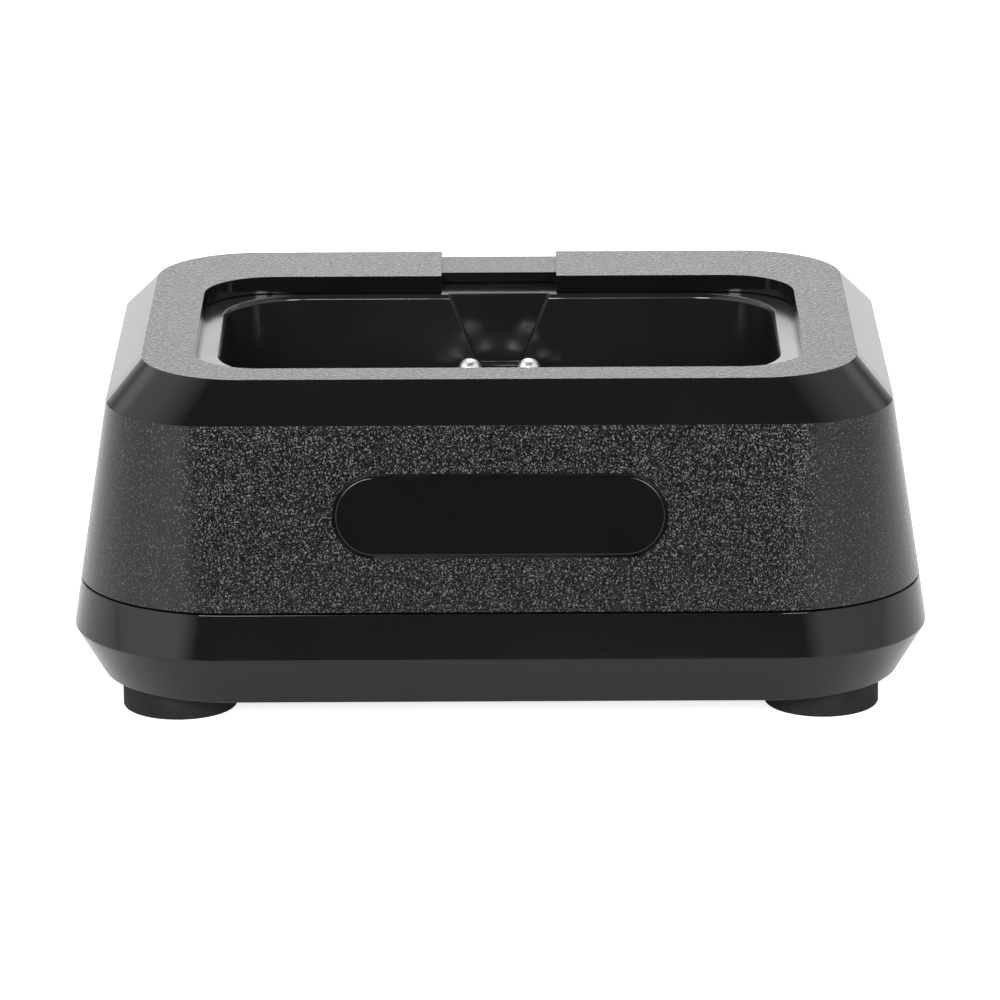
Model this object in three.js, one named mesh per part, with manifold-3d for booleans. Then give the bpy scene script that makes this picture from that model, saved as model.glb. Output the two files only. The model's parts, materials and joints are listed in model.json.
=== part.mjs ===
// Charging stand for a cordless hair clipper: a weighted plastic cradle on four rubber feet, with a
// pocket for the clipper's tail, two sprung charging pins in it and a power socket at the back.
// Millimetres, +Z up. The origin is on the table, under the middle of the stand; the front faces -Y.
import * as THREE from "three";
import { mergeVertices } from "three/addons/utils/BufferGeometryUtils.js";
import Module from "manifold-3d";

const wasm = await Module();
wasm.setup();

// ---- Driving dimensions -------------------------------------------------------------------------

// Pocket mouth in the top face, and the rim around it
const mouthWidth = 64;
const mouthDepth = 39.3;
const mouthRadius = 7.2;
const sideRim = 5.45;
const frontRim = 4.6;
const rimRadius = 10.8;
const ledgeDrop = 1.95;

// Outer shape, from the top down
const standHeight = 36.4;
const chamferHeight = 4;
const chamferRun = 3.65;
const shoulderRadius = 11.4;
const wallFlare = 3;
const partingHeight = 13.2;
const partingRadius = 15.5;
const waistHeight = 8.3;
const waistFlare = 0.72;
const undercut = 2.93;
const undercutRadius = 13.9;

// Walls and fits
const wall = 2.2;
const wellWall = 1.6;
const seam = 0.2;
const clearance = 0.3;
const lipHeight = 1.4;
const lipThickness = 1.1;

// Clipper well below the ledge
const sideLedge = 2.5;
const frontLedge = 5.2;
const rearLedge = 0.7;
const wellRadius = 8.4;
const wellDraft = 0.6;
const wellFloor = 1.8;
const flange = 2;
const flangeLap = 1.4;

// Thumb notch in the rear rim
const notchWidth = 12.6;
const nicheDepth = 4.6;
const saddleDrop = 0.75;
const guideTop = 11;
const guideFoot = 4.6;
const guideDepth = 0.7;

// Rubber feet and the screws above them
const footRadius = 6;
const footHeight = 2.9;
const footRecess = 0.8;
const footEase = 0.3;
const footMargin = 0.45;
const footBearing = (40 / 180) * Math.PI;
const towerRadius = 4.4;
const bossRadius = 3;
const screwRadius = 1.4;
const screwHeadRadius = 2.6;
const screwHead = 1.9;
const screwSeat = 0.6;

// Charging contacts
const pinRadius = 1.3;
const pinSpacing = 6.4;
const pinSetback = 7.1;
const pinStroke = 1.5;
const pinProud = 1;
const pedestalHeight = 9;
const pedestalMargin = 2.4;
const sleeveWall = 0.55;
const springWire = 0.3;
const springTurns = 8;

// Circuit board and the parts on it
const boardThickness = 1.6;
const boardGap = 2.6;
const boardAhead = 11.5;
const boardScrewInset = 6;
const jackWidth = 9;
const jackHeight = 9;
const jackLength = 13.8;
const jackBore = 3.2;
const jackPin = 1.05;
const jackGap = 1.75;

// Steel ballast plate
const ballastThickness = 1.6;
const ballastDepth = 40;
const ballastY = -2;

// Badge on the front
const badgeWidth = 34;
const badgeHeight = 8.2;
const badgeThickness = 0.8;
const badgeProud = 0.12;
const badgeRise = 0.4;

// ---- Sizes that follow from them ----------------------------------------------------------------

// The rear rim is deep because the power socket stands between the well and the rear wall.
const rearRim = jackLength + jackGap + wellWall - rearLedge - chamferRun - wallFlare / 2;
const mouth = { w: mouthWidth / 2, d: mouthDepth / 2, r: mouthRadius, y: (frontRim - rearRim) / 2 };
const rim = {
  w: mouth.w + sideRim,
  d: mouth.d + (frontRim + rearRim) / 2,
  r: rimRadius,
  z: standHeight,
};
const shoulder = grown(rim, chamferRun, { r: shoulderRadius, z: standHeight - chamferHeight });
const parting = grown(shoulder, wallFlare, { r: partingRadius, z: partingHeight });
const waist = grown(parting, waistFlare, { r: partingRadius, z: waistHeight });
const bottom = grown(waist, -undercut, { r: undercutRadius, z: footHeight });

const ledgeHeight = standHeight - ledgeDrop;
const plateUnderside = ledgeHeight + seam / 2;
const baseFloor = bottom.z + wall;
const lipInset = wall + 0.5;
const cavity = grown(parting, -lipInset - lipThickness);
const footReach = bottom.r - footRadius - footMargin;
const footX = bottom.w - bottom.r + footReach * Math.cos(footBearing);
const footY = bottom.d - bottom.r + footReach * Math.sin(footBearing);

const well = {
  w: mouth.w - sideLedge,
  d: mouth.d - (frontLedge + rearLedge) / 2,
  r: wellRadius,
  y: mouth.y + (frontLedge - rearLedge) / 2,
};
const wellBack = well.y + well.d;
const boardTop = partingHeight;
const wellUnderside = boardTop + boardGap;
const wellFloorHeight = wellUnderside + wellFloor;
const pinY = wellBack - pinSetback;
const boardUnderside = boardTop - boardThickness;
const boardHalfWidth = footX - towerRadius - 5;
const boardRear = cavity.d - clearance;
const boardFront = pinY - boardAhead;
const boardScrewX = boardHalfWidth - boardScrewInset;
const boardScrewY = boardFront + boardScrewInset;
const ballastStakeX = boardScrewX;
const pedestalTop = wellFloorHeight + pedestalHeight;
const pinTop = pedestalTop + pinStroke + pinProud;

const jackFace = faceY(boardTop + jackHeight) - 0.1;
const jackAxisHeight = boardTop + (seam + jackHeight) / 2;
const jackBack = jackFace - jackLength;

const lugX = mouth.w + flangeLap + clearance + 2.5;
const lugY = well.y;
const lugTop = wellFloorHeight + 8;
const lugThickness = 2;
const insertScrewTop = (lugTop + plateUnderside) / 2;

const bossTop = shoulder.z - 3;
const screwHeadLow = bottom.z + footRecess + screwSeat;
const screwTop = bossTop - 5;
const badgeHeightCentre = (parting.z + shoulder.z) / 2 + badgeRise;

// ---- Helpers ------------------------------------------------------------------------------------

// A rounded-rectangle section larger all round by `by`, with other values changed as asked.
function grown(section, by, changes = {}) {
  const r = Math.max(section.r + by, 0.5);
  return { ...section, w: section.w + by, d: section.d + by, r, ...changes };
}

// Half depth of the outer wall at a height between the parting line and the shoulder.
function faceY(z) {
  const t = (z - parting.z) / (shoulder.z - parting.z);
  return parting.d + (shoulder.d - parting.d) * t;
}

// The outer section at a height between two sections, moved in or out by `by`.
function between(low, high, z, by = 0) {
  const t = (z - low.z) / (high.z - low.z);
  const mix = (key) => low[key] + (high[key] - low[key]) * t;
  return grown({ w: mix("w"), d: mix("d"), r: mix("r"), y: 0, z }, by);
}

function roundedRectangle(w, d, r) {
  const shape = new THREE.Shape();
  shape.moveTo(w, d - r);
  shape.absarc(w - r, d - r, r, 0, Math.PI / 2);
  shape.absarc(r - w, d - r, r, Math.PI / 2, Math.PI);
  shape.absarc(r - w, r - d, r, Math.PI, Math.PI * 1.5);
  shape.absarc(w - r, r - d, r, Math.PI * 1.5, Math.PI * 2);
  return shape;
}

// A closed mesh from a geometry, as a solid that can be joined and cut.
function solid(geometry) {
  const bare = geometry.clone();
  bare.deleteAttribute("normal");
  bare.deleteAttribute("uv");
  const merged = mergeVertices(bare, 1e-4);
  return new wasm.Manifold(
    new wasm.Mesh({
      numProp: 3,
      vertProperties: new Float32Array(merged.attributes.position.array),
      triVerts: new Uint32Array(merged.index.array),
    }),
  );
}

// A solid whose plan is a rounded rectangle that changes from level to level. One section is
// extruded with a step for each level, and each point moves to its place in that level's section.
function loft(levels, cornerSteps = 5) {
  const [base] = levels;
  const geometry = new THREE.ExtrudeGeometry(roundedRectangle(base.w, base.d, base.r), {
    depth: levels.length - 1,
    steps: levels.length - 1,
    bevelEnabled: false,
    curveSegments: cornerSteps,
  });
  const point = geometry.getAttribute("position");
  for (let i = 0; i < point.count; i++) {
    const level = levels[Math.round(point.getZ(i))];
    const place = (value, from, to) => {
      const onArc = (Math.abs(value) - (from - base.r)) / base.r;
      return Math.sign(value) * (to - level.r + onArc * level.r);
    };
    const x = place(point.getX(i), base.w, level.w);
    const y = place(point.getY(i), base.d, level.d) + (level.y ?? 0);
    point.setXYZ(i, x, y, level.z);
  }
  return solid(geometry);
}

function prism(section, low, high, cornerSteps) {
  return loft([{ ...section, z: low }, { ...section, z: high }], cornerSteps);
}

function box(x0, x1, y0, y1, z0, z1) {
  const geometry = new THREE.BoxGeometry(x1 - x0, y1 - y0, z1 - z0);
  return solid(geometry.translate((x0 + x1) / 2, (y0 + y1) / 2, (z0 + z1) / 2));
}

// A solid of revolution about a vertical axis through (x, y), from [radius, height] points.
function turned(profile, x = 0, y = 0, sides = 20) {
  const points = profile.map(([r, z]) => new THREE.Vector2(r, z));
  const geometry = new THREE.LatheGeometry(points, sides).rotateX(Math.PI / 2);
  return solid(geometry.translate(x, y, 0));
}

function cylinder(radius, low, high, x = 0, y = 0, sides = 20) {
  return turned([[0, low], [radius, low], [radius, high], [0, high]], x, y, sides);
}

// A round bar or wire along a curve, with flat ends.
function wire(curve, radius, steps, sides = 8) {
  const section = new THREE.Shape().absarc(0, 0, radius, 0, Math.PI * 2);
  return solid(
    new THREE.ExtrudeGeometry(section, { extrudePath: curve, steps, curveSegments: sides / 2 }),
  );
}

const stand = new THREE.Group();

function part(name, material, body) {
  const { vertProperties, triVerts } = body.getMesh();
  const geometry = new THREE.BufferGeometry();
  geometry.setAttribute("position", new THREE.BufferAttribute(vertProperties, 3));
  geometry.setIndex(new THREE.BufferAttribute(triVerts, 1));
  geometry.computeVertexNormals();
  const mesh = new THREE.Mesh(geometry, material);
  mesh.name = name;
  stand.add(mesh);
  return mesh;
}

const finish = (color, roughness, metalness = 0) =>
  new THREE.MeshStandardMaterial({ color, roughness, metalness });

const texturedPlastic = finish(0x2b2b2c, 0.55);
const glossPlastic = finish(0x161617, 0.12);
const rubber = finish(0x1d1d1e, 0.85);
const chromedPin = finish(0xe4e4e6, 0.08, 1);
const brass = finish(0xc9a45a, 0.3, 1);
const steel = finish(0x9a9ba0, 0.35, 1);
const springSteel = finish(0xb5b6b8, 0.25, 1);
const boardGreen = finish(0x1e5a3a, 0.5);
const jackPlastic = finish(0x101011, 0.4);
const capacitorFilm = finish(0x1f2c4a, 0.3);
const fuseEpoxy = finish(0xc8871e, 0.4);

const sides = [["left", -1], ["right", 1]];
const corners = [
  ["front_left", -1, -1],
  ["front_right", 1, -1],
  ["rear_left", -1, 1],
  ["rear_right", 1, 1],
];

// ---- Upper housing ------------------------------------------------------------------------------

function upperHousing() {
  const outerLow = between(parting, shoulder, parting.z + seam / 2);
  const outer = loft([outerLow, shoulder, rim]);
  const innerTop = between(shoulder, rim, plateUnderside, -wall * 1.37);
  const inner = loft([
    between(parting, shoulder, parting.z - 1, -wall),
    between(parting, shoulder, shoulder.z - 0.9, -wall),
    innerTop,
  ]);
  let body = outer.subtract(inner);

  // Screw bosses, each tied to the two walls of its corner by ribs
  const ribBottom = partingHeight + lipHeight + clearance;
  for (const [, sx, sy] of corners) {
    const x = sx * footX;
    const y = sy * footY;
    const boss = cylinder(bossRadius, partingHeight + clearance, bossTop, x, y);
    const reachX = sx * parting.w;
    const reachY = sy * parting.d;
    const rib = 0.8;
    const ribX = box(Math.min(x, reachX), Math.max(x, reachX), y - rib, y + rib, ribBottom, bossTop);
    const ribY = box(x - rib, x + rib, Math.min(y, reachY), Math.max(y, reachY), ribBottom, bossTop);
    body = body.add(boss.add(ribX).add(ribY).intersect(outer));
    body = body.subtract(cylinder(screwRadius + 0.1, 0, screwTop + 1, x, y, 12));
  }

  // Bosses that the pocket insert is screwed to
  for (const [, sx] of sides) {
    const boss = cylinder(2.5, lugTop + 0.1, plateUnderside + 0.5, sx * lugX, lugY);
    body = body.add(boss.intersect(outer));
    body = body.subtract(cylinder(1.2, 0, insertScrewTop + 0.5, sx * lugX, lugY, 12));
  }

  // Pocket mouth, thumb niche and saddle
  const half = notchWidth / 2;
  const nicheBack = mouth.y + mouth.d + nicheDepth;
  body = body.subtract(prism(mouth, plateUnderside - 1, standHeight + 1));
  body = body.subtract(box(-half, half, mouth.y, nicheBack, plateUnderside - 1, standHeight + 1));
  const saddle = standHeight - saddleDrop;
  body = body.subtract(box(-half, half, mouth.y, rim.d + 5, saddle, standHeight + 1));

  // Window for the power socket
  const windowX = jackWidth / 2 + clearance;
  const windowLow = parting.z - 1;
  const windowHigh = boardTop + seam + jackHeight + clearance;
  body = body.subtract(box(-windowX, windowX, jackBack, parting.d + 2, windowLow, windowHigh));

  return body.subtract(badgeShape(clearance, -badgeThickness - clearance + badgeProud, 3));
}

// The badge's stadium outline on the sloping front wall, extruded along the wall's normal from one
// distance outside the wall to another.
function badgeShape(margin, from, to) {
  const slope = Math.atan((parting.d - shoulder.d) / (shoulder.z - parting.z));
  const r = badgeHeight / 2 + margin;
  const outline = roundedRectangle(badgeWidth / 2 + margin, r, r - 0.01);
  const geometry = new THREE.ExtrudeGeometry(outline, {
    depth: to - from,
    bevelEnabled: false,
    curveSegments: 10,
  });
  geometry.translate(0, 0, from).rotateX(Math.PI / 2 - slope);
  return solid(geometry.translate(0, -faceY(badgeHeightCentre), badgeHeightCentre));
}

// ---- Pocket insert ------------------------------------------------------------------------------

function pocketInsert() {
  const lap = grown(mouth, flangeLap);
  const flangeLow = ledgeHeight - flange;
  let body = prism(lap, flangeLow, ledgeHeight);
  const tongue = notchWidth / 2 + flangeLap;
  const tongueBack = mouth.y + mouth.d + nicheDepth + flangeLap;
  body = body.add(box(-tongue, tongue, mouth.y, tongueBack, flangeLow, ledgeHeight));
  body = body.add(
    loft([
      grown(well, wellWall - wellDraft, { z: wellUnderside }),
      grown(well, wellWall, { z: ledgeHeight - 0.5 }),
    ]),
  );

  // Lugs that screw up under the housing's bosses
  for (const [, sx] of sides) {
    const inner = sx * (well.w - 0.5);
    const outer = sx * (lugX + 2.2);
    const low = lugTop - lugThickness;
    body = body.add(
      box(Math.min(inner, outer), Math.max(inner, outer), lugY - 3, lugY + 3, low, lugTop),
    );
    body = body.subtract(cylinder(1.4, low - 1, lugTop + 1, sx * lugX, lugY, 12));
  }

  // Inside of the well, with an eased lip
  const ease = 0.4;
  body = body.subtract(
    loft([
      grown(well, -wellDraft, { z: wellFloorHeight }),
      { ...well, z: ledgeHeight - ease },
      grown(well, ease, { z: ledgeHeight }),
      grown(well, ease, { z: ledgeHeight + 1 }),
    ]),
  );

  // Tapered guide down the rear wall, from the thumb niche to the contacts
  const guide = new THREE.Shape();
  guide.moveTo(-guideTop / 2, ledgeHeight);
  guide.lineTo(-guideFoot / 2, pedestalTop);
  guide.lineTo(guideFoot / 2, pedestalTop);
  guide.lineTo(guideTop / 2, ledgeHeight);
  guide.lineTo(guideTop / 2, ledgeHeight + 1);
  guide.lineTo(-guideTop / 2, ledgeHeight + 1);
  const cutter = new THREE.ExtrudeGeometry(guide, { depth: 4, bevelEnabled: false });
  cutter.rotateX(Math.PI / 2).translate(0, wellBack + guideDepth, 0);
  body = body.subtract(solid(cutter));

  // Pedestal for the contacts, and posts for the circuit board
  const pedestal = {
    w: pinSpacing / 2 + pinRadius + pedestalMargin,
    d: pinRadius + pedestalMargin,
    r: 2,
    y: pinY,
  };
  body = body.add(prism(pedestal, wellFloorHeight - 0.5, pedestalTop));
  for (const [, sx] of sides) {
    const postX = sx * boardScrewX;
    body = body.add(cylinder(2.6, boardTop, wellUnderside + 0.5, postX, boardScrewY));
    body = body.subtract(cylinder(1.15, 0, wellUnderside + 0.7, postX, boardScrewY, 12));
    const bore = boreRadius + sleeveWall + 0.1;
    const x = (sx * pinSpacing) / 2;
    body = body.subtract(cylinder(bore, 0, pedestalTop + 1, x, pinY));
  }
  return body;
}

// ---- Base cover ---------------------------------------------------------------------------------

function baseCover() {
  const rimTop = parting.z - seam / 2;
  const outer = loft([bottom, waist, between(waist, parting, rimTop)]);
  let body = outer.subtract(prism(cavity, baseFloor, parting.z + 1));
  const lip = prism(grown(parting, -lipInset), rimTop - 0.5, partingHeight + lipHeight);
  body = body.add(lip.subtract(prism(cavity, 0, standHeight)));

  for (const [, sx, sy] of corners) {
    const x = sx * footX;
    const y = sy * footY;
    const tower = cylinder(towerRadius, baseFloor - 0.5, rimTop, x, y);
    body = body.add(tower);
    const headTop = screwHeadLow + screwHead + 0.1;
    body = body.subtract(cylinder(footRadius + seam, 0, bottom.z + footRecess, x, y, 32));
    body = body.subtract(cylinder(screwHeadRadius + clearance, 0, headTop, x, y));
    body = body.subtract(cylinder(screwRadius + clearance, 0, standHeight, x, y, 12));
  }

  // Stakes that hold the ballast plate, and rests for the rear of the circuit board
  const stakeTop = baseFloor + ballastThickness + 0.2;
  for (const [, sx] of sides) {
    const stake = [[0, baseFloor - 0.5], [1.8, baseFloor - 0.5], [1.8, stakeTop]];
    stake.push([2.9, stakeTop], [2.4, stakeTop + 0.6], [1.2, stakeTop + 1], [0, stakeTop + 1.1]);
    body = body.add(turned(stake, sx * ballastStakeX, ballastY));
    const restY = boardRear - 4;
    body = body.add(cylinder(1.8, baseFloor - 0.5, boardUnderside, sx * boardScrewX, restY, 12));
  }

  // Relief in the lip for the power socket
  const reliefX = jackWidth / 2 + clearance;
  const relief = box(-reliefX, reliefX, cavity.d - 2, parting.d - wall, rimTop, standHeight);
  return body.subtract(relief);
}

function ballastPlate() {
  const section = {
    w: footX - towerRadius - 2,
    d: ballastDepth / 2,
    r: 3,
    y: ballastY,
  };
  let body = prism(section, baseFloor + 0.05, baseFloor + 0.05 + ballastThickness, 2);
  for (const [, sx] of sides) {
    body = body.subtract(cylinder(2.1, 0, standHeight, sx * ballastStakeX, ballastY, 16));
  }
  return body;
}

// ---- Fasteners and feet -------------------------------------------------------------------------

// A pan-head screw pointing up, with a cross recess in its head.
function screw(x, y, headLow, end, head, headRadius, shankRadius) {
  const top = headLow + head;
  const profile = [
    [0, headLow],
    [headRadius * 0.72, headLow],
    [headRadius, headLow + head * 0.4],
    [headRadius, top],
    [shankRadius, top],
    [shankRadius, end - shankRadius],
    [shankRadius * 0.3, end],
    [0, end],
  ];
  let body = turned(profile, x, y);
  const slot = headRadius * 0.55;
  const slim = headRadius * 0.13;
  const deep = headLow + head * 0.5;
  body = body.subtract(box(x - slot, x + slot, y - slim, y + slim, headLow - 1, deep));
  return body.subtract(box(x - slim, x + slim, y - slot, y + slot, headLow - 1, deep));
}

function foot(x, y) {
  const top = bottom.z + footRecess - 0.1;
  const profile = [
    [0, 0],
    [footRadius - footEase, 0],
    [footRadius - footEase * 0.3, footEase * 0.3],
    [footRadius, footEase],
    [footRadius, top],
    [0, top],
  ];
  return turned(profile, x, y, 32);
}

// ---- Charging contacts --------------------------------------------------------------------------

const shoulderTop = pedestalTop - 1.5;
const shoulderLow = shoulderTop - 1;
const sleeveFloor = boardTop + 0.8;
const boreRadius = pinRadius + 0.4;

function contactPin(x) {
  const profile = [
    [0, shoulderLow],
    [boreRadius - 0.1, shoulderLow],
    [boreRadius - 0.1, shoulderTop - 0.05],
    [pinRadius, shoulderTop - 0.05],
  ];
  const arcSteps = 6;
  for (let i = 0; i <= arcSteps; i++) {
    const angle = (i / arcSteps) * (Math.PI / 2);
    const height = pinTop - pinRadius + pinRadius * Math.sin(angle);
    profile.push([i === arcSteps ? 0 : pinRadius * Math.cos(angle), height]);
  }
  return turned(profile, x, pinY);
}

function contactSleeve(x) {
  const outer = boreRadius + sleeveWall;
  const foot = pinSpacing / 2 - seam;
  const top = pedestalTop - 0.1;
  const profile = [
    [0, boardTop + 0.05],
    [foot, boardTop + 0.05],
    [foot, sleeveFloor],
    [outer, sleeveFloor],
    [outer, top],
    [pinRadius + 0.07, top],
    [pinRadius + 0.07, shoulderTop],
    [boreRadius, shoulderTop],
    [boreRadius, sleeveFloor],
    [0, sleeveFloor],
  ];
  return turned(profile, x, pinY);
}

class Helix extends THREE.Curve {
  constructor(radius, low, high, turns, x, y) {
    super();
    Object.assign(this, { radius, low, high, turns, x, y });
  }
  getPoint(t, target = new THREE.Vector3()) {
    const angle = t * this.turns * Math.PI * 2;
    const height = this.low + (this.high - this.low) * t;
    const across = this.radius * Math.cos(angle);
    return target.set(this.x + across, this.y + this.radius * Math.sin(angle), height);
  }
}

function contactSpring(x) {
  const radius = boreRadius - 0.15 - springWire / 2;
  const low = sleeveFloor + 0.1 + springWire / 2;
  const high = shoulderLow - 0.1 - springWire / 2;
  return wire(new Helix(radius, low, high, springTurns, x, pinY), springWire / 2, springTurns * 10, 6);
}

// ---- Circuit board and power socket -------------------------------------------------------------

function circuitBoard() {
  const half = (boardRear - boardFront) / 2;
  const section = { w: boardHalfWidth, d: half, r: 2, y: boardRear - half };
  let body = prism(section, boardUnderside + 0.1, boardTop - 0.05, 2);
  for (const [, sx] of sides) {
    body = body.subtract(cylinder(1.35, 0, standHeight, sx * boardScrewX, boardScrewY, 12));
  }
  return body;
}

// A horizontal solid of revolution along +Y through the power socket's axis.
function turnedAlongY(profile, segments = 24) {
  const points = profile.map(([r, y]) => new THREE.Vector2(r, y));
  const geometry = new THREE.LatheGeometry(points, segments);
  return solid(geometry.translate(0, 0, jackAxisHeight));
}

function jackBody() {
  const low = boardTop + seam / 2;
  const body = box(-jackWidth / 2, jackWidth / 2, jackBack, jackFace, low, low + jackHeight);
  const bore = turnedAlongY([
    [0, jackBack + 2.5],
    [jackBore, jackBack + 2.5],
    [jackBore, jackFace - 0.4],
    [jackBore + 0.4, jackFace],
    [jackBore + 0.4, jackFace + 1],
    [0, jackFace + 1],
  ]);
  const tail = turnedAlongY([
    [0, jackBack - 1],
    [jackPin + 0.1, jackBack - 1],
    [jackPin + 0.1, jackFace],
    [0, jackFace],
  ]);
  const slot = box(
    jackBore - 1,
    jackWidth / 2 + 1,
    jackBack + 2.5,
    jackFace - 3,
    jackAxisHeight - 1.5,
    jackAxisHeight + 1.5,
  );
  return body.subtract(bore).subtract(tail).subtract(slot);
}

function jackCentrePin() {
  const tip = jackFace - 1;
  return turnedAlongY([
    [0, jackBack - 0.55],
    [1.9, jackBack - 0.55],
    [1.9, jackBack - 0.05],
    [jackPin, jackBack - 0.05],
    [jackPin, tip - 0.6],
    [jackPin * 0.5, tip],
    [0, tip],
  ]);
}

// A strip of spring metal in the socket's side slot, bent so that it presses on the plug.
function jackLeaf() {
  const thick = 0.3;
  const near = jackBore - 0.25;
  const far = jackWidth / 2 - 0.1 - thick;
  const back = jackBack + 2.7;
  const front = jackFace - 3.3;
  const outline = new THREE.Shape();
  const path = [[far, back], [far, back + 1.5], [near, back + 5], [far - 0.4, front]];
  path.forEach(([x, y], i) => (i ? outline.lineTo(x, y) : outline.moveTo(x, y)));
  path.reverse().forEach(([x, y]) => outline.lineTo(x + thick, y));
  const geometry = new THREE.ExtrudeGeometry(outline, { depth: 2.4, bevelEnabled: false });
  return solid(geometry.translate(0, 0, jackAxisHeight - 1.2));
}

const rowY = (jackBack + jackFace) / 2 - 1;
const partX = jackWidth / 2 + 9;

function capacitor() {
  const low = boardTop + 0.1;
  const profile = [[0, low], [4, low], [4, low + 0.9], [3.75, low + 1.2], [3.75, low + 1.5]];
  profile.push([4, low + 1.8], [4, low + 8.6], [3.6, low + 9], [0, low + 9]);
  return turned(profile, -partX, rowY);
}

// Two wire legs that stand on the board, for a part with leads.
function legs(x, y, span, height) {
  const low = boardTop + 0.1;
  const left = cylinder(0.35, low, low + height, x - span, y, 8);
  return left.add(cylinder(0.35, low, low + height, x + span, y, 8));
}

function fuse() {
  const height = 5.4;
  const disc = new THREE.CylinderGeometry(3.6, 3.6, 2.6, 24);
  const body = solid(disc.translate(partX, rowY - 2, boardTop + height));
  return body.add(legs(partX, rowY - 2, 2.5, height));
}

function diode() {
  const height = 1.9;
  const tube = new THREE.CylinderGeometry(1.35, 1.35, 5.2, 16).rotateZ(Math.PI / 2);
  const lead = new THREE.CylinderGeometry(0.35, 0.35, 8.7, 8).rotateZ(Math.PI / 2);
  const y = rowY + 3;
  const place = [partX, y, boardTop + 0.1 + height];
  const body = solid(tube.translate(...place)).add(solid(lead.translate(...place)));
  return body.add(legs(partX, y, 4, height));
}

// ---- Assembly -----------------------------------------------------------------------------------

part("upper_housing", texturedPlastic, upperHousing());
part("pocket_insert", glossPlastic, pocketInsert());
part("base_cover", glossPlastic, baseCover());
part("front_badge", glossPlastic, badgeShape(0, badgeProud - badgeThickness, badgeProud));
part("ballast_plate", steel, ballastPlate());
part("circuit_board", boardGreen, circuitBoard());
part("power_jack_body", jackPlastic, jackBody());
part("power_jack_pin", brass, jackCentrePin());
part("power_jack_leaf", springSteel, jackLeaf());
part("filter_capacitor", capacitorFilm, capacitor());
part("resettable_fuse", fuseEpoxy, fuse());
part("reverse_diode", jackPlastic, diode());

for (const [side, sx] of sides) {
  const x = (sx * pinSpacing) / 2;
  part(`contact_pin_${side}`, chromedPin, contactPin(x));
  part(`contact_sleeve_${side}`, brass, contactSleeve(x));
  part(`contact_spring_${side}`, springSteel, contactSpring(x));
  const lugLow = lugTop - lugThickness;
  const insertShank = [insertScrewTop, 1.6, 2.1, 1.1];
  part(`insert_screw_${side}`, steel, screw(sx * lugX, lugY, lugLow - 1.65, ...insertShank));
  const boardShank = [wellUnderside + 0.3, 1.5, 2, 1.05];
  const boardScrewLow = boardUnderside - 1.45;
  const screwX = sx * boardScrewX;
  part(`board_screw_${side}`, steel, screw(screwX, boardScrewY, boardScrewLow, ...boardShank));
}

for (const [corner, sx, sy] of corners) {
  const x = sx * footX;
  const y = sy * footY;
  part(`foot_${corner}`, rubber, foot(x, y));
  const shank = [screwTop, screwHead, screwHeadRadius, screwRadius];
  part(`housing_screw_${corner}`, steel, screw(x, y, screwHeadLow, ...shank));
}

export default stand;
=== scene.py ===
# %% [markdown]
# # A charging stand for a hair clipper
# This lesson finishes the looks of a small moulded stand. Its sizes and its moving parts are
# already settled in an imported frame, so the script first loads that frame and keeps its box.
# Everything is in metres, and a section or a height is written in millimetres because that is how a
# moulding is drawn.

# %% Load the frame
import json
import math

import bpy
import bmesh
from mathutils import Matrix, Vector


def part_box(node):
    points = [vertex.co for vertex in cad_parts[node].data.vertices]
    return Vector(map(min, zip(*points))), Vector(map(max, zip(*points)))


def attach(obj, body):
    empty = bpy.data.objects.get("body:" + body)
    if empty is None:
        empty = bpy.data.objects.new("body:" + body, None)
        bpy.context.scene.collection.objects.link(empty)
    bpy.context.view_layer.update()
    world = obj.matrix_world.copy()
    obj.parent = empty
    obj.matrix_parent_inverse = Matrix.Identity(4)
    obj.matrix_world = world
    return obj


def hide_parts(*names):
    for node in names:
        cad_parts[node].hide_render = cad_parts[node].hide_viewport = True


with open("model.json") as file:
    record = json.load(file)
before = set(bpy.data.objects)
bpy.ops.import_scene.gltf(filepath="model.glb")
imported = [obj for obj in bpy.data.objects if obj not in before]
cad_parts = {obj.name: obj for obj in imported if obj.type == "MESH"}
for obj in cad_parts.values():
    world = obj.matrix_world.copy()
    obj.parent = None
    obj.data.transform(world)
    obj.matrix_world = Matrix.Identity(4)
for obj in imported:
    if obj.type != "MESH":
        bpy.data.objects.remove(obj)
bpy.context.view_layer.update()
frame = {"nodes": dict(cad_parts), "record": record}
MM = 0.001

# %% [markdown]
# ## Camera
# The camera stands well back with a long lens, sixteen degrees above the table, as a catalogue
# picture is taken. A short lens close by would also fill the frame, but the long one keeps the side
# walls nearly parallel, so the shape reads as it is. The camera is turned by a hair about its own
# axis, since nobody levels a tripod perfectly.

# %% Camera
PITCH = math.radians(16.0)
TILT = math.radians(-0.263)
DISTANCE = 0.6852
LENS = 228.2
aim = Vector((0.0, 0.0, 0.0155))
away = Vector((0, -math.cos(PITCH), math.sin(PITCH)))
camera_data = bpy.data.cameras.new("camera")
camera_data.sensor_width = 36
camera_data.lens = LENS
camera_data.clip_end = 50
camera = bpy.data.objects.new("camera", camera_data)
bpy.context.scene.collection.objects.link(camera)
camera.location = aim + away * DISTANCE
facing = away.to_track_quat("Z", "Y").to_matrix().to_4x4()
camera.rotation_euler = (facing @ Matrix.Rotation(TILT, 4, "Z")).to_euler()
bpy.context.scene.camera = camera
bpy.context.scene.view_settings.view_transform = "Standard"
print("camera at", camera.location)

# %% [markdown]
# ## Node helpers
# Every finish below is built from the same few moves: a noise of a given grain size, a map from
# that noise to a range of roughness or to two close colours, and a bump. Writing the moves once
# keeps each finish down to the choices that make it look like its own material.


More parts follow.
